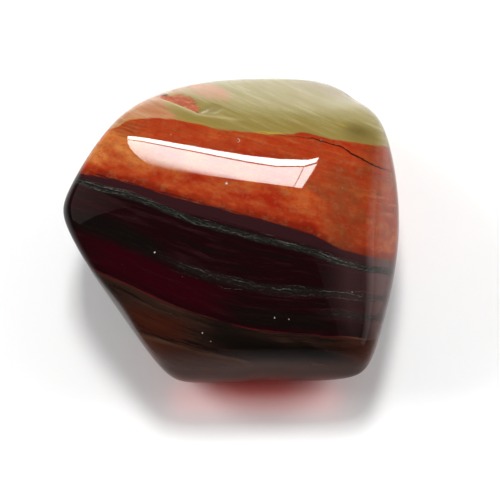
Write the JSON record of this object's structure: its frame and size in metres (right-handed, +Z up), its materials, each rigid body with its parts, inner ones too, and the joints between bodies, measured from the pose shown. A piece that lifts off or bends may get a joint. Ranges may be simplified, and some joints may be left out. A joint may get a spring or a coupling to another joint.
{
  "type": "banded ironstone",
  "caption": "Tumbled and polished pebble of banded ironstone: a rounded, wedge-like natural stone with a domed top that rests on a small flat spot.",
  "frame": {"origin": "on the surface the stone rests on, under the middle of its bounding box", "axes": "+Z up from the rest spot; -Y towards the thick, steep side nearest the picture's viewer; +Y towards the thin olive edge; +X to the picture's right"},
  "size_m": [0.0298, 0.0326, 0.0139],
  "materials": {
    "polished_ironstone": "high tumbled polish over bands of olive, orange-red jasper, dark maroon and brown, with thin silver-grey iron-oxide lines"
  },
  "bodies": {
    "root": {"stone": "polished_ironstone"}
  },
  "joints": []
}
